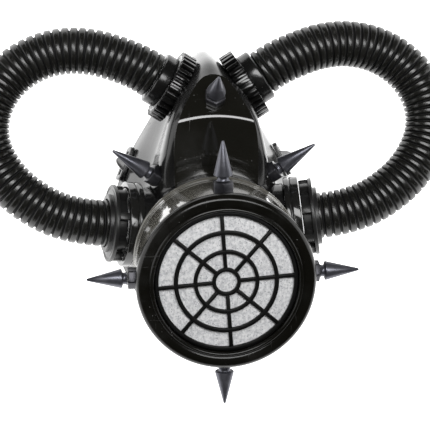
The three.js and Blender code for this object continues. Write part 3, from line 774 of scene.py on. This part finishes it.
def canister():
    """The drum, the fat front ring, the felt and the grille, made about Z and then put in place."""
    lip = DRUM_RADIUS + 0.8
    drum_inner = DRUM_RADIUS - DRUM_WALL
    drum_end = BEZEL_START - GAP
    cut = 0.35
    outline = [(NECK_BORE, -NECK_LENGTH), (NECK_RADIUS, -NECK_LENGTH), (NECK_RADIUS, 0), (lip, 0), (lip, 1.8),
               (DRUM_RADIUS, DRUM_WALL)]
    for groove in (5.2, 8.4, BEZEL_START - 2.6):
        outline += [(DRUM_RADIUS, groove - cut), (DRUM_RADIUS - cut, groove), (DRUM_RADIUS, groove + cut)]
    outline += [(DRUM_RADIUS, drum_end), (drum_inner, drum_end), (drum_inner, DRUM_WALL),
                (NECK_BORE, DRUM_WALL)]
    drum = spun("filter_drum", eased(outline, 0.45, 2), 144)
    point_values(drum, "along", [vertex.co.z for vertex in drum.data.vertices])
    drum.data.transform(CANISTER)
    dressed(smoothed(drum, 35), "canister_body", "drum")

    spigot = drum_inner - GAP
    spigot_end = BEZEL_START - 6
    ledge = GRILLE_SEAT - 2.9
    ledge_inner, mouth = 33.5, 37.4
    front = CANISTER_LENGTH
    swell, crown = 3.6, 4.2
    outline = [(ledge_inner, ledge - 2), (spigot - 2, ledge - 2), (spigot - 2, spigot_end),
               (spigot, spigot_end), (spigot, BEZEL_START), (BEZEL_RADIUS - 0.9, BEZEL_START)]
    outline += [(BEZEL_RADIUS - swell + swell * math.cos(a), front - crown + crown * math.sin(a))
                for a in (math.radians(d) for d in (-35, -15, 5, 25, 45, 65, 85))]
    outline += [(40.6, front - 0.5), (40, front - 0.9), (39.4, front - 0.1), (38.4, front + 0.1),
                (37.6, front - 0.6), (mouth, front - 1.6), (mouth, ledge), (ledge_inner, ledge)]
    bezel = spun("filter_bezel", eased(outline, 0.5, 2), 144)
    bezel.data.transform(CANISTER)
    dressed(smoothed(bezel, 45), "canister_bezel", "bezel")

    pad_front, pad_back = GRILLE_SEAT - GAP, GRILLE_SEAT - 2.6
    disc = [(0, pad_front), (34, pad_front), (36.6, GRILLE_SEAT - 0.8), (36.8, pad_back), (0, pad_back)]
    pad = spun("felt_disc", disc, 96)
    pad.data.transform(CANISTER)
    dressed(smoothed(pad, 60), "filter_pad", "felt")

    top = GRILLE_SEAT + 2
    bars = [spun("grille_ring", eased([(a, GRILLE_SEAT), (b, GRILLE_SEAT), (b, top), (a, top)], 0.5, 3), 128)
            for a, b in GRILLE_RINGS]
    spoke = block("spoke", (2, 29, 1.9), (0, 21.3, GRILLE_SEAT + 1), 0.45)
    for k in range(GRILLE_SPOKES):
        turn = Matrix.Rotation(math.radians(GRILLE_TURN + 360 / GRILLE_SPOKES * k), 4, "Z")
        bars.append(copied(spoke, f"spoke_{k}", turn))
    scrapped(spoke)
    grille = joined(bars, "filter_grille")
    grille.data.transform(CANISTER)
    dressed(smoothed(grille, 50), "grille", "grille")


def spikes():
    """One nut and two lengths of cone, copied to the seven seats."""
    deselect()
    bpy.ops.mesh.primitive_cylinder_add(vertices=6, radius=NUT_RADIUS * MM,
                                        depth=(NUT_HEIGHT + NUT_ROOT) * MM,
                                        location=(0, 0, (NUT_HEIGHT - NUT_ROOT) / 2 * MM))
    nut = bpy.context.object
    bpy.ops.object.transform_apply(location=True, rotation=True, scale=True)
    bpy.ops.object.mode_set(mode="EDIT")
    bpy.ops.mesh.select_all(action="SELECT")
    bpy.ops.mesh.bevel(offset=NUT_EDGE * MM, segments=3, affect="EDGES")
    bpy.ops.object.mode_set(mode="OBJECT")
    foot = NUT_HEIGHT + GAP
    base = foot + CONE_NECK
    cones = []
    for length in (CONE_LENGTH, CHEEK_CONE_LENGTH):
        tip = base + length
        outline = [(0, foot), (3.6, foot), (3.1, foot + 0.7), (3, base - 0.8), (3.2, base - 0.4), (4.5, base),
                   (4.9, base + 0.2), (5, base + 0.6), (0.75, tip - 0.7), (0.5, tip - 0.2), (0, tip)]
        cones.append(spun("cone", outline, 56))
    for piece in (nut, *cones):
        point_values(piece, "along", [vertex.co.z for vertex in piece.data.vertices])
        smoothed(piece, 32)
    slope = math.radians(UPPER_SLOPE)
    nose = (0, NOSE_SPIKE_Y, plate_height(0, NOSE_SPIKE_Y) + GAP / math.cos(slope))
    seats = {"nose": seat(nose, (0, math.sin(slope), math.cos(slope)))}
    for mark, side in SIDES.items():
        seats[f"cheek_{mark}"] = seat(mirrored(CHEEK[0], side), mirrored(CHEEK[1], side))
    drum_ways = {"top": (0, 1, 0), "bottom": (0, -1, 0), "left": (-1, 0, 0), "right": (1, 0, 0)}
    for name, way in drum_ways.items():
        on_drum = Vector(way) * (DRUM_RADIUS + GAP) * MM + Vector((0, 0, DRUM_SPIKE_AT * MM))
        turn = Vector((0, 0, 1)).rotation_difference(CANISTER.to_3x3() @ Vector(way)).to_matrix().to_4x4()
        seats[name] = Matrix.Translation(CANISTER @ on_drum) @ turn
    for name, matrix in seats.items():
        cone = cones[name.startswith("cheek")]
        dressed(copied(nut, f"nut_{name}", matrix), f"spike_nut_{name}", "nut")
        dressed(copied(cone, f"cone_{name}", matrix), f"spike_cone_{name}", "cone")
    for piece in (nut, *cones):
        scrapped(piece)


def unions():
    """The toothed rings and plain collars beside the nose."""
    half = RING_THICK / 2
    root = RING_RADIUS - 2.3
    edge = 0.3
    body = [(UNION_BORE, -half), (root - edge, -half), (root, -half + edge), (root, half - edge),
            (root - edge, half), (16.4, half), (16, half - 0.5), (15.2, half - 0.5), (14.9, half),
            (UNION_BORE, half)]
    parts = [spun("ring", eased(body, 0.2, 2), 108)]
    tooth = block("tooth", (3, 2.1, RING_THICK - 0.3), (RING_RADIUS - 1.5, 0, 0), 0.35)
    for k in range(RING_TEETH):
        parts.append(copied(tooth, f"tooth_{k}", Matrix.Rotation(2 * math.pi * k / RING_TEETH, 4, "Z")))
    scrapped(tooth)
    ring = smoothed(joined(parts, "ring"), 40)
    start = half + GAP
    end = start + COLLAR_LENGTH
    outline = [(UNION_BORE, start), (COLLAR_RADIUS, start), (COLLAR_RADIUS, end - 0.8), (13.9, end),
               (UNION_BORE, end)]
    collar = smoothed(spun("collar", eased(outline, 0.25, 2), 96), 40)
    for mark, side in SIDES.items():
        matrix = seat(mirrored(UNION[0], side), mirrored(UNION[1], side))
        dressed(copied(ring, f"ring_{mark}", matrix), f"knurled_ring_{mark}", "ring")
        dressed(copied(collar, f"collar_{mark}", matrix), f"hose_collar_{mark}", "satin")
    scrapped(ring)
    scrapped(collar)


def ports():
    """The drums on the cheeks and their capped cages."""
    groove = VALVE_RADIUS - 0.5
    sunk = VALVE_LENGTH - 0.7
    outline = [(VALVE_BORE, 0), (VALVE_RADIUS, 0), (VALVE_RADIUS, 2.6), (groove, 3), (groove, 3.5),
               (VALVE_RADIUS, 3.9), (VALVE_RADIUS, VALVE_LENGTH), (19.5, VALVE_LENGTH), (19, sunk),
               (VALVE_BORE, sunk)]
    drum = smoothed(spun("drum", eased(outline, 0.5, 3), 108), 40)
    start = VALVE_LENGTH + GAP
    face = start + CAGE_LENGTH
    top = face + COVER_THICK
    cuff = top + CUFF_HEIGHT
    outline = [(0, start), (16, start), (16, face), (COVER_RADIUS, face), (COVER_RADIUS, top), (19.6, top),
               (19.2, top - 0.4), (18.6, top - 0.4), (18.2, top), (CUFF_OUTER, top), (CUFF_OUTER, cuff),
               (CUFF_INNER, cuff), (CUFF_INNER, top), (0, top)]
    parts = [spun("cap", eased(outline, 0.4, 3), 108)]
    post = block("post", (5, 4, CAGE_LENGTH + 0.2), (18, 0, start + CAGE_LENGTH / 2), 0.4)
    for k in range(CAGE_POSTS):
        parts.append(copied(post, f"post_{k}", Matrix.Rotation(2 * math.pi * k / CAGE_POSTS, 4, "Z")))
    scrapped(post)
    cap = smoothed(joined(parts, "cap"), 40)
    for mark, side in SIDES.items():
        matrix = seat(mirrored(PORT[0], side), mirrored(PORT[1], side))
        dressed(copied(drum, f"port_drum_{mark}", matrix), f"valve_base_{mark}", "port")
        dressed(copied(cap, f"port_cap_{mark}", matrix), f"valve_cover_{mark}", "cap")
    scrapped(drum)
    scrapped(cap)


def slides():
    """The strap slides, with eased edges."""
    for mark in SIDES:
        node = f"strap_buckle_{mark}"
        slide = copied(bpy.data.objects[node], f"slide_{mark}", Matrix.Identity(4))
        tidy_mesh(slide)
        modified(slide, "DECIMATE", decimate_type="DISSOLVE", angle_limit=math.radians(4))
        modified(slide, "BEVEL", width=SLIDE_EDGE * MM, segments=3, limit_method="ANGLE",
                 angle_limit=math.radians(40))
        dressed(smoothed(slide, 40), node, "satin")


def studio():
    """A pale floor and soft lights: one on each side and a long one overhead."""
    deselect()
    bpy.ops.mesh.primitive_plane_add(size=FLOOR_SIZE, location=(0, 0, -FLOOR_DROP))
    floor = bpy.context.object
    floor.name = "floor"
    paint = Finish("floor_paint", Emission_Color=(1, 1, 1, 1), Emission_Strength=FLOOR_GLOW, Roughness=0.9)
    floor.data.materials.append(paint.feed(Base_Color=paint.mix(paint.noise(3), grey(0.88), grey(0.9))))
    for name, place, (wide, deep), power in LIGHTS:
        lamp = bpy.data.lights.new(name, "AREA")
        lamp.shape = "RECTANGLE"
        lamp.size = wide
        lamp.size_y = deep
        lamp.energy = power
        light = bpy.data.objects.new(name, lamp)
        bpy.context.collection.objects.link(light)
        aim = Vector(LIGHT_AIM) - Vector(place)
        light.matrix_world = Matrix.Translation(place) @ aim.to_track_quat("-Z", "Y").to_matrix().to_4x4()
    world = bpy.context.scene.world or bpy.data.worlds.new("world")
    bpy.context.scene.world = world
    world.use_nodes = True
    world.node_tree.nodes["Background"].inputs["Color"].default_value = SURROUND
    bpy.context.scene.view_settings.view_transform = "Standard"


set_camera()
for mark in SIDES:
    hose(mark)
muzzle()
front_plate()
canister()
spikes()
unions()
ports()
slides()
studio()
